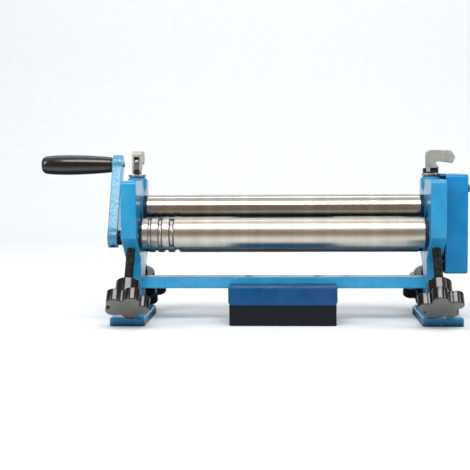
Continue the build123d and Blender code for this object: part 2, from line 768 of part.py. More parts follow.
def lever_pad(side):
    low = boss_top + lever_washer_thickness + moving_gap
    pad = Pos(0, 0, low) * Box(pad_length, pad_width, pad_height, align=UP)
    pad = fillet(pad.edges().filter_by(Axis.Z), pad_width / 3)
    slot = Pos(0, 0, low) * Box(tongue_width + running_clearance, tongue_thickness + running_clearance,
                                pad_height, align=UP)
    return lever_place(side) * (pad - slot)


def lever_pin(side):
    return lever_place(side) * Pos(0, 0, lever_pin_z) * Rot(90, 0, 0) * Cylinder(lever_pin_diameter / 2, lever_width)


def lever_outline():
    """Side view about the pin: a straight back, a paddle with a blunt nose, a skirt and a leg."""
    leg_low = -(lever_pin_height - lever_washer_thickness - moving_gap)
    reach = sqrt(leg_low ** 2 + 1) - 2 * moving_gap
    leg_back = -5.6
    leg_front = -1.0
    return make_face(Polyline(
        (leg_back, -sqrt(reach ** 2 - leg_back ** 2)), (leg_back, lever_shoulder), (0, lever_crown),
        (lever_reach - 4.8, lever_nose_top), (lever_reach, 4.4), (lever_reach - 3.2, -2.7),
        (9.2, -0.3), (5.7, -1.4), (6.5, -4.1), (8.5, -6.1), (9.6, -8.1),
        (leg_front, -8.1), (leg_front, -sqrt(reach ** 2 - leg_front ** 2)), close=True,
    ))


def clamp_lever(side):
    lever = extrude(Plane.XZ * lever_outline(), lever_width / 2, both=True)
    outer = [edge for edge in lever.edges().filter_by(Axis.Y)
             if edge.center().Z > lever_eye_radius / 2 or edge.center().X > lever_fork_reach]
    lever = fillet(outer, lever_corner_radius)
    rims = lever.faces().sort_by(Axis.Y)[0].edges() + lever.faces().sort_by(Axis.Y)[-1].edges()
    lever = fillet(rims, lever_edge_fillet)
    fork_top = lever_eye_radius + 2
    fork_low = -2 * lever_pin_height
    lever -= block_between((-lever_fork_reach, lever_fork_reach), (-lever_fork_gap / 2, lever_fork_gap / 2),
                           (fork_low, fork_top))
    lever -= Rot(90, 0, 0) * Cylinder(lever_pin_diameter / 2 + running_clearance, lever_width)
    return lever_place(side) * Pos(0, 0, lever_pin_z) * lever


# --- parts ---

def paired(name, builder, *values):
    """The same part at the left and the right frame."""
    return {f"{name}_{word}": builder(*values, side) for word, side in (("left", -1), ("right", 1))}


def adjuster_parts(name, place, axis, shortening):
    parts = {}
    for word, side in (("left", -1), ("right", 1)):
        parts[f"{name}_block_{word}"] = bearing_block(place, axis, side)
        parts[f"{name}_bush_{word}"] = bush(place, side, block_inner)
        parts[f"{name}_screw_{word}"] = adjusting_screw(place, axis, shortening, side)
        parts[f"{name}_knob_{word}"] = star_knob(place, axis, shortening, side)
    return parts


def gear_end_parts(name, place, first_tooth):
    return {
        f"{name}_gear": spur_gear(place, first_tooth),
        f"{name}_gear_spacer": gear_spacer(place),
        f"{name}_gear_key": gear_key(place),
        f"{name}_gear_circlip": circlip(place),
    }


def all_parts():
    half_pitch = 180 / gear_teeth
    parts = {
        "side_frame_left": side_frame(-1),
        "side_frame_right": side_frame(1),
        "tie_bar": tie_bar(),
        "tie_bar_bolts": tie_bar_bolts(),
        "centre_foot": centre_foot(),
        "centre_foot_pad": centre_foot_pad(),
        "centre_foot_screws": centre_foot_screws(),
        "top_bush_left": bush(top_place, -1, frame_inner),
        "top_bush_right": bush(top_place, 1, frame_inner),
        "top_roll": top_roll(),
        "pinch_roll": pinch_roll(),
        "bending_roll": bending_roll(),
        "gear_cover": gear_cover(),
        "gear_cover_pillars": gear_cover_pillars(),
        "gear_cover_screws": gear_cover_screws(),
        "crank_arm": crank_arm(),
        "crank_grub_screw": crank_grub_screw(),
        "crank_spacer": crank_spacer(),
        "crank_key": crank_key(),
        "grip_spindle": grip_spindle(),
        "grip": grip(),
    }
    parts.update(gear_end_parts("top", top_place, line_of_centres()))
    parts.update(gear_end_parts("pinch", pinch_place, line_of_centres() + 180 + half_pitch))
    parts.update(adjuster_parts("bending", bending_place, front_axis, 0))
    parts.update(adjuster_parts("pinch", pinch_place, rear_axis, pinch_shortening))
    parts.update(paired("lever_stud", lever_stud))
    parts.update(paired("lever_washer", lever_washer))
    parts.update(paired("lever_pad", lever_pad))
    parts.update(paired("lever_pin", lever_pin))
    parts.update(paired("clamp_lever", clamp_lever))
    return parts


os.makedirs("parts", exist_ok=True)
for node, shape in all_parts().items():
    export_step(shape, f"parts/{node}.step")
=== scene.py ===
import bpy
from math import cos, pi, radians, sin
from mathutils import Matrix, Vector


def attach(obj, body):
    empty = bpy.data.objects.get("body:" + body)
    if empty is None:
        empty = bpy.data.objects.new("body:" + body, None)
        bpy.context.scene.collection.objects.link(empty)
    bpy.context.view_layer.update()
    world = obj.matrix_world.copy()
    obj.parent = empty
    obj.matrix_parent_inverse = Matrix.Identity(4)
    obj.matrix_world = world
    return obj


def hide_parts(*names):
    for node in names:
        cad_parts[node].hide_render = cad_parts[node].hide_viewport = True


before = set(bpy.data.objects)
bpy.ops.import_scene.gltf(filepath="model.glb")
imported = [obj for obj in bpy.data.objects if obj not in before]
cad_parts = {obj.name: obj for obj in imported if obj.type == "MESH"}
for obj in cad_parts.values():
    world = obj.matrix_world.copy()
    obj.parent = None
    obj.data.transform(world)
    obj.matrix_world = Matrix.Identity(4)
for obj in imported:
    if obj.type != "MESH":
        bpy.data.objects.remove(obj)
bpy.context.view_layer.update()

# ---- Side frames ----
# Two grey iron castings that carry the rolls, each with a foot, a narrow waist and a round boss on
# top. The cast skin is sealed under thick blue enamel, rubbed thin on its edges.

FRAME_BLUE = "#2091be"
FRAME_BLUE_DEEP = "#0f7cae"
BARE_IRON = "#59626b"
WORKSHOP_DUST = "#8f9aa0"
# colour of the painted shade on the lowest centimetre of the blue pieces
FOOT_PAINTED_SHADE = "#012338"
SMOOTH_ANGLE = 32                       # degrees; sharper edges keep their crease
WELD_DISTANCE = 0.000002


def shade(code):
    """A written sRGB colour as linear light, opaque."""
    parts = [int(code[i:i + 2], 16) / 255 for i in (1, 3, 5)]
    light = [p / 12.92 if p <= 0.04045 else ((p + 0.055) / 1.055) ** 2.4 for p in parts]
    return (*light, 1.0)


def put(tree, kind, feeds=None, **settings):
    """A new node with its settings, and with values or other nodes' sockets on its inputs."""
    made = tree.nodes.new(kind)
    for name, value in settings.items():
        setattr(made, name, value)
    for name, value in (feeds or {}).items():
        if isinstance(value, bpy.types.NodeSocket):
            tree.links.new(value, made.inputs[name])
        else:
            made.inputs[name].default_value = value
    return made


def tint(tree, amount, under, over):
    """Colour over laid on colour under by amount."""
    return put(tree, "ShaderNodeMix", {0: amount, 6: under, 7: over}, data_type="RGBA").outputs[2]


def spread(tree, value, low, high, to_low=0.0, to_high=1.0):
    """A value taken from one range to another, held at its ends."""
    feeds = {"Value": value, "From Min": low, "From Max": high, "To Min": to_low, "To Max": to_high}
    return put(tree, "ShaderNodeMapRange", feeds).outputs["Result"]


def times(tree, a, b):
    return put(tree, "ShaderNodeMath", {0: a, 1: b}, operation="MULTIPLY").outputs[0]


def noise(tree, place, scale, detail, **more):
    """Noise over the given coordinates; its other inputs go by their own names."""
    feeds = {"Vector": place, "Scale": scale, "Detail": detail, **more}
    return put(tree, "ShaderNodeTexNoise", feeds).outputs["Fac"]


def along(tree, vector, axis):
    return put(tree, "ShaderNodeSeparateXYZ", {"Vector": vector}).outputs[axis]


def rounded(tree, radius):
    """The normal that the surface would have with its edges rounded off."""
    return put(tree, "ShaderNodeBevel", {"Radius": radius}, samples=4).outputs["Normal"]


def effect(name, wants, gives):
    """A node group with float inputs and the named outputs, and its coordinates on the piece."""
    tree = bpy.data.node_groups.new(name, "ShaderNodeTree")
    kind = "NodeSocketFloat"
    for want, value in wants.items():
        socket = tree.interface.new_socket(name=want, in_out="INPUT", socket_type=kind)
        socket.default_value = value
    for give in gives:
        tree.interface.new_socket(name=give, in_out="OUTPUT", socket_type=kind)
    given = put(tree, "NodeGroupInput").outputs
    place = put(tree, "ShaderNodeTexCoord").outputs["Object"]
    return tree, given, place


def end_effect(tree, results):
    put(tree, "NodeGroupOutput", results)
    return tree


def make_cast_skin():
    """Sand-cast lumps under flowed paint: a slow mottle and a fine orange peel."""
    wants = {"Grain": 420.0, "Mottle": 38.0}
    tree, given, place = effect("cast_skin", wants, ["Tone", "Height"])
    peel = noise(tree, place, given["Grain"], 3.0, Roughness=0.55)
    lumps = noise(tree, place, given["Mottle"], 5.0, Roughness=0.6)
    height = put(tree, "ShaderNodeMath", {0: peel, 1: lumps}, operation="ADD").outputs[0]
    return end_effect(tree, {"Tone": spread(tree, lumps, 0.3, 0.7), "Height": height})


def make_edge_wear():
    """Where a round-nosed normal leaves the flat one, the edge is rubbed, in broken patches."""
    wants = {"Width": 0.0012, "Patches": 160.0, "Amount": 0.6}
    tree, given, place = effect("edge_wear", wants, ["Mask"])
    flat = put(tree, "ShaderNodeNewGeometry").outputs["Normal"]
    agree = put(tree, "ShaderNodeVectorMath", {0: rounded(tree, given["Width"]), 1: flat},
                operation="DOT_PRODUCT").outputs["Value"]
    edge = spread(tree, agree, 0.99, 0.86)
    broken = noise(tree, place, given["Patches"], 6.0, Roughness=0.7)
    rubbed = times(tree, edge, spread(tree, broken, 0.46, 0.62))
    return end_effect(tree, {"Mask": times(tree, rubbed, given["Amount"])})


def make_handling():
    """Smears, finger marks and settled dust: a slow blotchy mask and short fine scratches."""
    wants = {"Smears": 22.0, "Scratches": 240.0}
    tree, given, place = effect("handling", wants, ["Smear", "Scratch"])
    blots = noise(tree, place, given["Smears"], 4.0, Distortion=1.2)
    skewed = put(tree, "ShaderNodeMapping", {"Vector": place, "Scale": (0.35, 1.0, 3.0),
                                             "Rotation": (0.5, 0.4, 0.7)}).outputs["Vector"]
    lines = noise(tree, skewed, given["Scratches"], 2.0, Distortion=0.4)
    return end_effect(tree, {"Smear": spread(tree, blots, 0.35, 0.7),
                             "Scratch": spread(tree, lines, 0.68, 0.76)})


def make_bench_shade():
    """Painted shade that gathers on the lowest centimetre, darkest at the bench."""
    wants = {"Height": 0.012, "Amount": 0.92}
    tree, given, place = effect("bench_shade", wants, ["Mask"])
    low = spread(tree, along(tree, place, "Z"), given["Height"], 0.001)
    uneven = spread(tree, noise(tree, place, 130.0, 4.0), 0.1, 0.5, 0.6, 1.0)
    return end_effect(tree, {"Mask": times(tree, times(tree, low, uneven), given["Amount"])})


cast_skin = make_cast_skin()
edge_wear = make_edge_wear()
bench_shade = make_bench_shade()
handling = make_handling()


def start_finish(name, **sockets):
    """A material with its shader's plain values set, its tree and its shader."""
    material = bpy.data.materials.new(name)
    material.use_nodes = True
    tree = material.node_tree
    tree.nodes.clear()
    shader = put(tree, "ShaderNodeBsdfPrincipled")
    for socket, value in sockets.items():
        shader.inputs[socket.replace("_", " ")].default_value = value
    put(tree, "ShaderNodeOutputMaterial", {"Surface": shader.outputs["BSDF"]})
    return material, tree, shader


def use(tree, group, feeds=None):
    return put(tree, "ShaderNodeGroup", feeds, node_tree=group).outputs


def paint(tree, shader, colour):
    tree.links.new(colour, shader.inputs["Base Color"])


def vary(tree, shader, socket, mask, low, high):
    """The shader's input goes from low to high with the mask."""
    tree.links.new(spread(tree, mask, 0, 1, low, high), shader.inputs[socket])


def relief(tree, shader, height, depth, softened=0.0004):
    """Height as a bump, over edges softened as a file or a fettling belt leaves them."""
    bump = put(tree, "ShaderNodeBump", {"Height": height, "Normal": rounded(tree, softened),
                                        "Distance": depth, "Strength": 1.0})
    tree.links.new(bump.outputs["Normal"], shader.inputs["Normal"])


def enamel(name, colour, deep, wear, gloss, dusty=0.05, peel=0.00006):
    """Enamel on cast iron or sheet: mottled colour, rubbed edges, a little dust, painted shade low
    down.
    """
    material, tree, shader = start_finish(name, Coat_Roughness=0.06)
    skin = use(tree, cast_skin)
    worn = use(tree, edge_wear, {"Amount": wear})["Mask"]
    marks = use(tree, handling)
    low_shade = use(tree, bench_shade)["Mask"]
    colour = tint(tree, skin["Tone"], shade(deep), shade(colour))
    colour = tint(tree, times(tree, marks["Smear"], dusty), colour, shade(WORKSHOP_DUST))
    # painted shade: darker and less glossy towards the bench
    colour = tint(tree, low_shade, colour, shade(FOOT_PAINTED_SHADE))
    paint(tree, shader, tint(tree, worn, colour, shade(BARE_IRON)))
    vary(tree, shader, "Roughness", marks["Smear"], 0.22, 0.44)
    vary(tree, shader, "Specular IOR Level", low_shade, 0.2 + gloss / 3, 0.04)
    vary(tree, shader, "Coat Weight", low_shade, gloss, 0.0)
    relief(tree, shader, skin["Height"], peel)
    return material


def make_smoother():
    """Welds a machined mesh and shades it smooth, but for edges sharper than a set angle."""
    tree = bpy.data.node_groups.new("smooth_surfaces", "GeometryNodeTree")
    for way in ("INPUT", "OUTPUT"):
        tree.interface.new_socket(name="Geometry", in_out=way, socket_type="NodeSocketGeometry")
    given = put(tree, "NodeGroupInput").outputs[0]
    welded = put(tree, "GeometryNodeMergeByDistance",
                 {"Geometry": given, "Distance": WELD_DISTANCE}).outputs[0]
    angle = put(tree, "GeometryNodeInputMeshEdgeAngle").outputs["Unsigned Angle"]
    gentle = put(tree, "FunctionNodeCompare", {0: angle, 1: radians(SMOOTH_ANGLE)},
                 data_type="FLOAT", operation="LESS_THAN").outputs[0]
    faces = put(tree, "GeometryNodeSetShadeSmooth",
                {"Geometry": welded, "Shade Smooth": True}, domain="FACE").outputs[0]
    edges = put(tree, "GeometryNodeSetShadeSmooth",
                {"Geometry": faces, "Shade Smooth": gentle}, domain="EDGE").outputs[0]
    put(tree, "NodeGroupOutput", {0: edges})
    return tree


smoother = make_smoother()


def dress(names, material):
    """The named nodes, smoothed and given their finish."""
    for name in names:
        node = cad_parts[name]
        node.modifiers.new("smooth", "NODES").node_group = smoother
        for place in node.material_slots:
            place.material = material
        if not node.material_slots:
            node.data.materials.append(material)


def both(name):
    return [f"{name}_left", f"{name}_right"]


frame_enamel = enamel("frame_enamel", FRAME_BLUE, FRAME_BLUE_DEEP, wear=0.4, gloss=0.4)
dress(both("side_frame"), frame_enamel)

# ---- Tie bar and its bolts ----
# A square steel bar that ties the frames together under the rolls, in the same enamel, with two
# black socket-head bolts through each frame.

# painted light: the bar's blue is lighter than the frames' enamel, standing for the light on its
# top face
TIE_BLUE_LIT = "#3fa4d4"
TIE_BLUE_LIT_DEEP = "#2993c6"
OXIDE_BLACK = "#2b2a28"
OXIDE_OILED = "#4a463f"
RUBBED_STEEL = "#a8a49c"

tie_lit_enamel = enamel("tie_lit_enamel", TIE_BLUE_LIT, TIE_BLUE_LIT_DEEP, wear=0.6, gloss=0.2, peel=0.00002)
dress(["tie_bar"], tie_lit_enamel)


def oxide(name, colour, rough):
    """Black oxide on steel: thin, slightly oily, with the metal showing at rubbed edges."""
    material, tree, shader = start_finish(name, Metallic=1.0)
    worn = use(tree, edge_wear, {"Width": 0.0006, "Patches": 400.0, "Amount": 0.8})["Mask"]
    marks = use(tree, handling, {"Smears": 60.0})
    oiled = times(tree, marks["Smear"], 0.4)
    colour = tint(tree, oiled, shade(colour), shade(OXIDE_OILED))
    paint(tree, shader, tint(tree, worn, colour, shade(RUBBED_STEEL)))
    vary(tree, shader, "Roughness", marks["Smear"], rough, rough + 0.2)
    relief(tree, shader, marks["Scratch"], 0.00001, 0.0002)
    return material


black_oxide = oxide("black_oxide", OXIDE_BLACK, 0.42)
dress(["tie_bar_bolts", "centre_foot_screws", "crank_grub_screw"], black_oxide)

# ---- Centre foot ----
# A cast block screwed under the middle of the tie bar, standing on a moulded rubber pad that keeps
# the long bar from sagging under the rolls' load.

# painted shade: the foot's blue is darkened far below the frames' enamel, standing for the shade on
# its front face
FOOT_BLUE_SHADED = "#00477a"
FOOT_BLUE_SHADED_DEEP = "#013b66"
# painted shadow: the pad's near-black stands where the shade under the foot block lies
PAD_SHADOW_BLACK = "#0d1119"
PAD_DUSTED = "#1c2026"

shaded_foot_enamel = enamel("shaded_foot_enamel", FOOT_BLUE_SHADED, FOOT_BLUE_SHADED_DEEP, wear=0.45, gloss=0.03, dusty=0.02)
dress(["centre_foot"], shaded_foot_enamel)


def pad_shadow_finish():
    """Moulded black rubber, matt, greyed by dust in its pores; its near-black is painted shadow,
    filling the shade under the block.
    """
    material, tree, shader = start_finish("pad_rubber", Specular_IOR_Level=0.2)
    skin = use(tree, cast_skin, {"Grain": 1400.0, "Mottle": 90.0})
    dusted = times(tree, skin["Tone"], 0.35)
    paint(tree, shader, tint(tree, dusted, shade(PAD_SHADOW_BLACK), shade(PAD_DUSTED)))
    vary(tree, shader, "Roughness", skin["Tone"], 0.6, 0.85)
    relief(tree, shader, skin["Height"], 0.00004)
    return material


dress(["centre_foot_pad"], pad_shadow_finish())

# ---- Bushes and bearing blocks ----
# Flanged bushes of black bearing plastic, pressed into the frames for the top roll and into sliding
# steel blocks for the two lower rolls. The blocks are milled, and grey with grease.

BUSH_BLACK = "#0b1c36"
GREASED_PLASTIC = "#2a3648"
OIL_FILM = "#6d6152"


def bearing_plastic(name, colour):
    """Hard bearing plastic with a dull sheen, smeared with grease."""
    material, tree, shader = start_finish(name, Specular_IOR_Level=0.45)
    marks = use(tree, handling, {"Smears": 70.0, "Scratches": 500.0})
    greased = times(tree, marks["Smear"], 0.3)
    paint(tree, shader, tint(tree, greased, shade(colour), shade(GREASED_PLASTIC)))
    vary(tree, shader, "Roughness", marks["Smear"], 0.3, 0.5)
    relief(tree, shader, marks["Scratch"], 0.00001, 0.0003)
    return material


bush_plastic = bearing_plastic("bush_plastic", BUSH_BLACK)
dress(both("top_bush") + both("bending_bush") + both("pinch_bush"), bush_plastic)


def make_tool_marks():
    """Fine rings left by a turning tool or grinding wheel, round the roll's long axis."""
    wants = {"Rings": 2600.0, "Drift": 30.0}
    tree, given, place = effect("tool_marks", wants, ["Line", "Tone"])
    feeds = {"Vector": place, "Scale": (1.0, 0.006, 0.006)}
    squeezed = put(tree, "ShaderNodeMapping", feeds).outputs["Vector"]
    fine = noise(tree, squeezed, given["Rings"], 3.0, Roughness=0.7)
    bands = noise(tree, squeezed, given["Drift"], 3.0)
    return end_effect(tree, {"Line": fine, "Tone": spread(tree, bands, 0.35, 0.65)})


tool_marks = make_tool_marks()


def machined(name, light, dark, rough, oily=0.15):
    """Bare machined steel: tool rings, a faint oil film and small scratches."""
    material, tree, shader = start_finish(name, Metallic=1.0)
    rings = use(tree, tool_marks)
    marks = use(tree, handling, {"Smears": 14.0, "Scratches": 900.0})
    colour = tint(tree, rings["Tone"], shade(dark), shade(light))
    paint(tree, shader, tint(tree, times(tree, marks["Smear"], oily), colour, shade(OIL_FILM)))
    vary(tree, shader, "Roughness", marks["Smear"], rough, rough + 0.12)
    relief(tree, shader, rings["Line"], 0.000002, 0.0003)
    return material


milled_steel = machined("milled_steel", "#a9a7a2", "#84827d", 0.34, oily=0.4)
dress(both("bending_block") + both("pinch_block"), milled_steel)

# ---- Rolls ----
# Three ground steel rolls turned from one bar each. The two lower rolls have three round grooves at
# the crank end, where wire of each size is bent without being flattened.

ROLL_RADIUS = 0.0175
ROLL_HALF = 0.1597
ROLL_CHAMFER = 0.0008
ROLL_SEGMENTS = 128
GROOVE_WIDTHS = (0.004, 0.005, 0.006)
GROOVE_LAND = 0.0073
GROOVE_STEPS = 12
JOURNAL_RADIUS = 0.008
JOURNAL_END = 0.1803
SHAFT_RADIUS = 0.007
SHAFT_CHAMFER = 0.001
SHOULDER = 0.1815                       # where the journal steps down to the shaft's end
GEAR_SHAFT_END = 0.2001
ARM_FACE = 0.209
TOP_AXIS = (0.022, 0.1273)              # y and z
PINCH_DROP = 0.036
PINCH_LEAN = radians(19.4)
PINCH_AXIS = (TOP_AXIS[0] + PINCH_DROP * sin(PINCH_LEAN),
              TOP_AXIS[1] - PINCH_DROP * cos(PINCH_LEAN))
BENDING_AXIS = (-0.0245, 0.1023)
GROUND_STEEL = "#d3cec5"
GROUND_STEEL_DEEP = "#c4beb4"
WARM_OIL = "#8f8272"
# painted reflection: the darker colour that steel takes when seen in other steel
STEEL_MIRRORED_SHADE = "#30363a"


def mesh_piece(name, points, faces, sharp=SMOOTH_ANGLE):
    """A mesh shaded smooth, but for edges sharper than the angle."""
    mesh = bpy.data.meshes.new(name)
    mesh.from_pydata(points, [], faces)
    mesh.validate()
    mesh.shade_smooth()
    mesh.set_sharp_from_angle(angle=radians(sharp))
    piece = bpy.data.objects.new(name, mesh)
    bpy.context.scene.collection.objects.link(piece)
    return piece


def ring_faces(rings, segments, backwards=False):
    """Faces between neighbouring rings of point numbers; a ring of one point closes an end."""
    faces = []
    for low, high in zip(rings, rings[1:]):
        for step in range(segments):
            after = (step + 1) % segments
            corners = [low[step % len(low)], high[step % len(high)],
                       high[after % len(high)], low[after % len(low)]]
            if backwards:
                corners = corners[:1] + corners[:0:-1]
            faces.append([c for i, c in enumerate(corners) if c not in corners[:i]])
    return faces


def turned(name, outline, axis):
    """A piece turned about a line along X, from (x, radius) points; radius 0 closes an end."""
    points, rings = [], []
    for x, radius in outline:
        if radius == 0:
            rings.append([len(points)])
            points.append((x, axis[0], axis[1]))
            continue
        rings.append(range(len(points), len(points) + ROLL_SEGMENTS))
        for step in range(ROLL_SEGMENTS):
            turn = 2 * pi * step / ROLL_SEGMENTS
            points.append((x, axis[0] + radius * cos(turn), axis[1] + radius * sin(turn)))
    return mesh_piece(name, points, ring_faces(rings, ROLL_SEGMENTS))


def body_outline(grooved):
    """From the left end face to the right one, with the grooves' round bottoms."""
    x = -ROLL_HALF
    outline = [(x, ROLL_RADIUS - ROLL_CHAMFER), (x + ROLL_CHAMFER, ROLL_RADIUS)]
    for width in GROOVE_WIDTHS if grooved else ():
        x += GROOVE_LAND
        for step in range(GROOVE_STEPS + 1):
            turn = pi * step / GROOVE_STEPS
            depth = width / 2 * sin(turn)
            outline.append((x + width / 2 * (1 - cos(turn)), ROLL_RADIUS - depth))
        x += width
    outline.append((ROLL_HALF - ROLL_CHAMFER, ROLL_RADIUS))
    outline.append((ROLL_HALF, ROLL_RADIUS - ROLL_CHAMFER))
    return outline


def roll(node, body, axis, grooved, steel, left, right):
    """A roll of the given steel, with shaft steps (x, radius) beyond its left and right faces."""
    start = [(left[0][0], 0.0)] + left
    end = right + [(right[-1][0], 0.0)]
    piece = turned(f"{node}_turned", start + body_outline(grooved) + end, axis)
    piece.data.materials.append(steel)
    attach(piece, body)
    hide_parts(node)


def in_metal(tree):
    """1 where the surface is seen as a mirror image in another one."""
    return put(tree, "ShaderNodeLightPath").outputs["Is Glossy Ray"]


def roll_finish(name, rough):
    """Ground steel with a warm oil film in slow patches, painted darker where it is seen as a
    mirror image in steel.
    """
    material, tree, shader = start_finish(name, Metallic=1.0)
    rings = use(tree, tool_marks, {"Rings": 5200.0, "Drift": 55.0})
    marks = use(tree, handling, {"Smears": 9.0, "Scratches": 700.0})
    colour = tint(tree, rings["Tone"], shade(GROUND_STEEL_DEEP), shade(GROUND_STEEL))
    colour = tint(tree, times(tree, marks["Smear"], 0.07), colour, shade(WARM_OIL))
    # painted reflection: steel seen in steel is darkened
    mirrored = times(tree, in_metal(tree), 0.8)
    paint(tree, shader, tint(tree, mirrored, colour, shade(STEEL_MIRRORED_SHADE)))
    vary(tree, shader, "Roughness", marks["Smear"], rough, rough + 0.04)
    relief(tree, shader, rings["Line"], 0.0000012, 0.0003)
    return material


polished_steel = roll_finish("polished_steel", 0.15)
satin_steel = roll_finish("satin_steel", 0.32)
PLAIN_LEFT = [(-JOURNAL_END, JOURNAL_RADIUS), (-ROLL_HALF, JOURNAL_RADIUS)]
PLAIN_RIGHT = [(ROLL_HALF, JOURNAL_RADIUS), (JOURNAL_END, JOURNAL_RADIUS)]
GEAR_RIGHT = [(ROLL_HALF, JOURNAL_RADIUS), (SHOULDER, JOURNAL_RADIUS), (SHOULDER, SHAFT_RADIUS),
              (GEAR_SHAFT_END - SHAFT_CHAMFER, SHAFT_RADIUS),
              (GEAR_SHAFT_END, SHAFT_RADIUS - SHAFT_CHAMFER)]
CRANK_LEFT = [(-ARM_FACE, SHAFT_RADIUS), (-SHOULDER, SHAFT_RADIUS), (-SHOULDER, JOURNAL_RADIUS),
              (-ROLL_HALF, JOURNAL_RADIUS)]
roll("bending_roll", "bending_roller", BENDING_AXIS, True, satin_steel, PLAIN_LEFT, PLAIN_RIGHT)
roll("top_roll", "top_roller", TOP_AXIS, False, polished_steel, PLAIN_LEFT, GEAR_RIGHT)
roll("pinch_roll", "pinch_roller", PINCH_AXIS, True, polished_steel, CRANK_LEFT, GEAR_RIGHT)

# ---- Adjusting screws ----
# Four black-oxided steel screws with a right-hand thread, slanting down out of the frames' boss
# faces. Their plain tips turn in sockets in the bearing blocks.

SCREW_RADIUS = 0.005
SCREW_TIP_RADIUS = 0.004
SCREW_TIP = 0.0107                      # from the roll's axis, as the thread's start and ends
THREAD_START = 0.0133
BENDING_THREAD_END = 0.09
PINCH_THREAD_END = 0.0804
SCREW_PITCH = 0.0015
THREAD_DEPTH = 0.0009
THREAD_FLANK = 0.38                     # of a pitch, from the root's middle to the crest
THREAD_RUNOUT = 0.4                     # of the depth, left at both ends of the thread
THREAD_SEGMENTS = 40
ROWS_PER_PITCH = 6
THREAD_SHARP = 50
SCREW_TILT = radians(35)
FRAME_MIDDLE = 0.17185
THREAD_BLACK = "#2f2d2a"


def along_screw(axis, side, heading):
    """From a screw's own frame, Z outwards from the roll's rest axis, to the row's frame."""
    out = Vector((0, heading * sin(SCREW_TILT), -cos(SCREW_TILT)))
    across = Vector((1, 0, 0))
    turn = Matrix((across, out.cross(across), out)).transposed().to_4x4()
    return Matrix.Translation((side * FRAME_MIDDLE, axis[0], axis[1])) @ turn


def thread_mesh(name, end):
    """A helical ridge with flat crests, faded out at both ends, and the plain tip before it."""
    length = end - THREAD_START
    rows = int(length / SCREW_PITCH * ROWS_PER_PITCH)
    outline = [(SCREW_TIP, 0.0, False), (SCREW_TIP, SCREW_TIP_RADIUS, False),
               (THREAD_START, SCREW_TIP_RADIUS, False)]
    outline += [(THREAD_START + length * row / rows, SCREW_RADIUS, True) for row in range(rows + 1)]
    outline.append((end, 0.0, False))
    points, rings = [], []
    for z, radius, threaded in outline:
        if radius == 0:
            rings.append([len(points)])
            points.append((0, 0, z))
            continue
        rings.append(range(len(points), len(points) + THREAD_SEGMENTS))
        from_ends = min(z - THREAD_START, end - z) / SCREW_PITCH
        fade = min(1.0, from_ends + THREAD_RUNOUT)
        for step in range(THREAD_SEGMENTS):
            turn = 2 * pi * step / THREAD_SEGMENTS
            phase = (z / SCREW_PITCH - step / THREAD_SEGMENTS) % 1
            dip = max(0.0, 1 - abs(phase - 0.5) / THREAD_FLANK) if threaded else 0.0
            reach = radius - THREAD_DEPTH * dip - (1 - fade) * THREAD_DEPTH * threaded
            points.append((reach * cos(turn), reach * sin(turn), z))
    faces = ring_faces(rings, THREAD_SEGMENTS, backwards=True)
    return mesh_piece(name, points, faces, sharp=THREAD_SHARP)


thread_oxide = oxide("thread_oxide", THREAD_BLACK, 0.36)
for kind, axis, heading, end in (("bending", BENDING_AXIS, -1, BENDING_THREAD_END),
                                 ("pinch", PINCH_AXIS, 1, PINCH_THREAD_END)):
    for word, side in (("left", -1), ("right", 1)):
        piece = thread_mesh(f"{kind}_thread_{word}", end)
        piece.matrix_world = along_screw(axis, side, heading)
        piece.data.materials.append(thread_oxide)
        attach(piece, f"{kind}_adjuster_{word}")
        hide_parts(f"{kind}_screw_{word}")

# ---- Star knobs ----
# Five-lobed hand knobs moulded in glossy black plastic on the lower ends of the screws. Fingers
# keep the lobes polished, and fine scuffs gather on the faces.

KNOB_BLACK = "#050505"
# grey painted on the knobs' down-facing faces as a reflection of the floor
KNOB_FACE_FLOOR_REFLECTION = "#55524e"
PLASTIC_SMEARED = "#1c1c1d"
PLASTIC_SCUFFED = "#6a6866"
PLASTIC_WORN = "#4a4a4c"


def moulded(name, colour, rough, scuffed, floor_reflection=0.0):
    """Glossy moulded plastic with scuffs; the last argument sets how much the flat faces that look
    down are greyed, a painted reflection of the pale floor.
    """
    material, tree, shader = start_finish(name, Specular_IOR_Level=0.55, Coat_Weight=0.5,
                                          Coat_Roughness=0.06)
    marks = use(tree, handling, {"Smears": 45.0, "Scratches": 420.0})
    worn = use(tree, edge_wear, {"Width": 0.0015, "Patches": 220.0, "Amount": 0.35})["Mask"]
    skin = use(tree, cast_skin, {"Grain": 700.0, "Mottle": 60.0})
    heading = put(tree, "ShaderNodeNewGeometry").outputs["Normal"]
    downward = spread(tree, along(tree, heading, "Z"), -0.74, -0.8)
    colour = tint(tree, times(tree, marks["Smear"], 0.2), shade(colour), shade(PLASTIC_SMEARED))
    # painted reflection: faces that look down are greyed as if mirroring the floor
    colour = tint(tree, times(tree, downward, floor_reflection), colour, shade(KNOB_FACE_FLOOR_REFLECTION))
    colour = tint(tree, times(tree, marks["Scratch"], scuffed), colour, shade(PLASTIC_SCUFFED))
    paint(tree, shader, tint(tree, worn, colour, shade(PLASTIC_WORN)))
    vary(tree, shader, "Roughness", marks["Smear"], rough, rough + 0.1)
    relief(tree, shader, skin["Height"], 0.00002, 0.0006)
    return material


knob_plastic = moulded("knob_plastic", KNOB_BLACK, 0.1, scuffed=0.08, floor_reflection=0.85)
dress(both("bending_knob") + both("pinch_knob"), knob_plastic)

# ---- Gears and their shaft ends ----
# A pair of steel spur gears that make the top and pinch rolls turn together, each with a spacer
# behind it, a key through it and a circlip that keeps it on.

gear_steel = machined("gear_steel", "#8f8f90", "#6a6a6b", 0.36, oily=0.5)
for end in ("top", "pinch"):
    dress([f"{end}_gear", f"{end}_gear_spacer", f"{end}_gear_key"], gear_steel)
    dress([f"{end}_gear_circlip"], black_oxide)

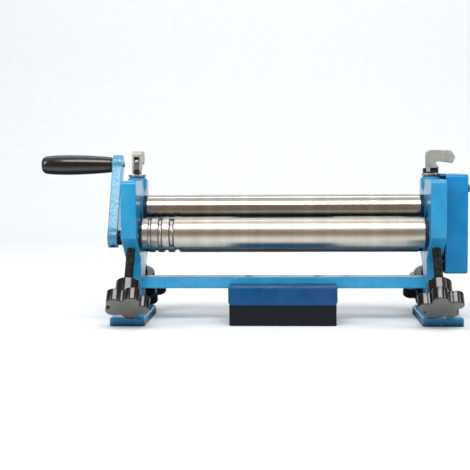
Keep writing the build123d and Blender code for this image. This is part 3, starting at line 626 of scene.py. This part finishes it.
# ---- Gear cover ----
# A folded and welded sheet steel box over the gears, in a darker blue, screwed to three pillars
# that are threaded into the right frame.

COVER_BLUE = "#0480b8"
COVER_BLUE_DEEP = "#0270a4"

cover_enamel = enamel("cover_enamel", COVER_BLUE, COVER_BLUE_DEEP, wear=0.5, gloss=0.12,
                      dusty=0.03, peel=0.00001)
dress(["gear_cover"], cover_enamel)
dress(["gear_cover_pillars"], machined("pillar_steel", "#b0aeaa", "#8c8a86", 0.3))
dress(["gear_cover_screws"], black_oxide)

# ---- Crank ----
# A cast arm in pale hammer-finish enamel, keyed to the pinch roll and held by a grub screw, with a
# black spacer between it and the frame.

HAMMER_LIGHT = "#5ca3bc"
HAMMER_DEEP = "#2f7ba2"


def hammer_finish():
    """Hammer enamel: shallow round dimples with dark rims, in two tones of pale blue."""
    material, tree, shader = start_finish("hammer_enamel", Coat_Weight=0.6, Coat_Roughness=0.1,
                                          Metallic=0.15)
    place = put(tree, "ShaderNodeTexCoord").outputs["Object"]
    wobble = put(tree, "ShaderNodeTexNoise",
                 {"Vector": place, "Scale": 300.0, "Detail": 2.0}).outputs["Color"]
    bent = put(tree, "ShaderNodeMix", {0: 0.004, 4: place, 5: wobble},
               data_type="VECTOR").outputs[1]
    cells = put(tree, "ShaderNodeTexVoronoi", {"Vector": bent, "Scale": 420.0},
                feature="SMOOTH_F1")
    dimple = spread(tree, cells.outputs["Distance"], 0.1, 0.65)
    worn = use(tree, edge_wear, {"Amount": 0.5})["Mask"]
    colour = tint(tree, dimple, shade(HAMMER_LIGHT), shade(HAMMER_DEEP))
    paint(tree, shader, tint(tree, worn, colour, shade(BARE_IRON)))
    vary(tree, shader, "Roughness", dimple, 0.24, 0.42)
    relief(tree, shader, dimple, 0.0002)
    return material


dress(["crank_arm"], hammer_finish())
dress(["crank_spacer"], black_oxide)
dress(["crank_key"], gear_steel)

# ---- Grip ----
# A tapered grip turned from black plastic, free to spin on a steel spindle that is pressed into the
# top of the crank arm.

GRIP_BLACK = "#0d0c0b"

dress(["grip_spindle"], machined("spindle_steel", "#b9b7b2", "#96948f", 0.28))
dress(["grip"], moulded("grip_plastic", GRIP_BLACK, 0.16, scuffed=0.12))

# ---- Clamp levers ----
# Zinc-plated cast levers on the frames' top bosses. Each straddles a black pad and turns on a pin
# through the flattened head of its stud.

ZINC_RUBBED = "#d9d8d2"
LEVER_PAD_BLACK = "#15171c"


def zinc(name, light, dark, rough):
    """Zinc plate on a casting: grainy, cloudy grey with bright rubbed edges."""
    material, tree, shader = start_finish(name, Metallic=1.0)
    skin = use(tree, cast_skin, {"Grain": 900.0, "Mottle": 120.0})
    worn = use(tree, edge_wear, {"Width": 0.0008, "Patches": 300.0, "Amount": 0.6})["Mask"]
    colour = tint(tree, skin["Tone"], shade(dark), shade(light))
    paint(tree, shader, tint(tree, worn, colour, shade(ZINC_RUBBED)))
    vary(tree, shader, "Roughness", skin["Tone"], rough, rough + 0.16)
    relief(tree, shader, skin["Height"], 0.00004, 0.0006)
    return material


lever_zinc = zinc("lever_zinc", "#dcdcd5", "#bcbcb4", 0.5)
dress(both("clamp_lever") + both("lever_pin"), lever_zinc)
fastener_zinc = zinc("fastener_zinc", "#b5b5b0", "#8d8d88", 0.3)
dress(both("lever_stud") + both("lever_washer"), fastener_zinc)
dress(both("lever_pad"), bearing_plastic("lever_pad_plastic", LEVER_PAD_BLACK))

# ---- Studio ----
# A pale floor that sweeps up behind the machine, a broad soft lamp above it, two smaller ones at
# its sides and one for the wall.

FLOOR = "#ecedee"
FLOOR_GRAIN = "#e9eaeb"
FLOOR_FRONT = -1.0
FLOOR_BACK = 1.3
FLOOR_HALF_WIDTH = 3.0
SWEEP_RADIUS = 0.5
SWEEP_STEPS = 9
WALL_TOP = 2.4
MACHINE_SHADE = "#4d5660"
ROOM_BROWN = "#978b7c"
CEILING = "#f8f8f6"
AIR_LOW = "#b9c0c4"
AIR_HIGH = "#f4f7fa"
AIR_STRENGTH = 0.75
ROLLS_MIDDLE = (0, 0, 0.1)


def floor_sweep():
    """The floor from in front of the machine to a wall, with a wide curve between them."""
    outline = [(FLOOR_FRONT, 0.0), (FLOOR_BACK, 0.0)]
    for step in range(1, SWEEP_STEPS + 1):
        turn = radians(90 * step / SWEEP_STEPS)
        outline.append((FLOOR_BACK + SWEEP_RADIUS * sin(turn),
                        SWEEP_RADIUS - SWEEP_RADIUS * cos(turn)))
    outline.append((FLOOR_BACK + SWEEP_RADIUS, WALL_TOP))
    points = [(x, y, z) for y, z in outline for x in (-FLOOR_HALF_WIDTH, FLOOR_HALF_WIDTH)]
    faces = [(2 * k, 2 * k + 1, 2 * k + 3, 2 * k + 2) for k in range(len(outline) - 1)]
    return mesh_piece("studio_floor", points, faces, sharp=60)


def floor_finish():
    """Matt pale board; as a mirror image in metal it is painted: a brown reflection in front, pale
    at the machine, and a painted shadow behind it.
    """
    material, tree, shader = start_finish("studio_board", Roughness=0.9, Specular_IOR_Level=0.1)
    place = put(tree, "ShaderNodeTexCoord").outputs["Object"]
    grain = spread(tree, noise(tree, place, 60.0, 4.0), 0.3, 0.7)
    seen = tint(tree, grain, shade(FLOOR), shade(FLOOR_GRAIN))
    depth = along(tree, place, "Y")
    # painted reflection and shadow: only metal sees the floor brown in front and dark just behind
    # the machine
    mirrored = tint(tree, spread(tree, depth, -0.34, -0.15), shade(ROOM_BROWN), seen)
    shadow_behind = times(tree, spread(tree, depth, -0.02, 0.05), spread(tree, depth, 0.6, 0.35))
    mirrored = tint(tree, shadow_behind, mirrored, shade(MACHINE_SHADE))
    paint(tree, shader, tint(tree, in_metal(tree), seen, mirrored))
    return material


floor = floor_sweep()
floor.data.materials.append(floor_finish())


def studio_air():
    """Even light from all round; polished metal mirrors a brown room below a white ceiling."""
    world = bpy.data.worlds.new("studio_air")
    bpy.context.scene.world = world
    world.use_nodes = True
    tree = world.node_tree
    tree.nodes.clear()
    rise = along(tree, put(tree, "ShaderNodeTexCoord").outputs["Generated"], "Z")
    mirrored = tint(tree, spread(tree, rise, 0.72, 0.9), shade(ROOM_BROWN), shade(CEILING))
    even = tint(tree, spread(tree, rise, -0.2, 0.6), shade(AIR_LOW), shade(AIR_HIGH))
    colour = tint(tree, in_metal(tree), even, mirrored)
    air = put(tree, "ShaderNodeBackground", {"Color": colour, "Strength": AIR_STRENGTH})
    put(tree, "ShaderNodeOutputWorld", {"Surface": air.outputs[0]})


def soft_lamp(name, place, aim, size, power):
    """A rectangular lamp of the given size and power in watts, turned towards its aim."""
    lamp = bpy.data.lights.new(name, "AREA")
    lamp.shape = "RECTANGLE"
    lamp.size, lamp.size_y = size
    lamp.energy = power
    holder = bpy.data.objects.new(name, lamp)
    bpy.context.scene.collection.objects.link(holder)
    holder.location = place
    holder.rotation_euler = (Vector(aim) - Vector(place)).to_track_quat("-Z", "Y").to_euler()


studio_air()
soft_lamp("overhead", (0.0, -0.75, 1.15), ROLLS_MIDDLE, size=(1.1, 0.5), power=11)
soft_lamp("backdrop_wash", (0.0, 0.7, 1.9), (0, 1.7, 0.7), size=(2.6, 0.5), power=14)
soft_lamp("left_side", (-1.3, -0.8, 0.8), ROLLS_MIDDLE, size=(0.6, 0.9), power=8)
soft_lamp("right_side", (1.3, -0.5, 0.7), ROLLS_MIDDLE, size=(0.5, 0.8), power=5)

# ---- Camera ----
# Set where the photograph was taken from: a little above the rolls, just right of the middle,
# turned slightly left and down.

SENSOR_MM = 36
PICTURE_PIXELS = 470
LENS_PIXELS = 1118.7
CAMERA_PLACE = (0.011, -1.2938, 0.1871)
CAMERA_DOWN = 3.912                     # degrees, as the next two
CAMERA_ROLL = 0.328
CAMERA_LEFT = 2.925

view = bpy.data.cameras.new("viewpoint")
view.lens = SENSOR_MM * LENS_PIXELS / PICTURE_PIXELS
eye = bpy.data.objects.new("viewpoint", view)
bpy.context.scene.collection.objects.link(eye)
eye.location = CAMERA_PLACE
eye.rotation_euler = (radians(90 - CAMERA_DOWN), radians(CAMERA_ROLL), radians(CAMERA_LEFT))
bpy.context.scene.camera = eye
bpy.context.scene.view_settings.view_transform = "Standard"
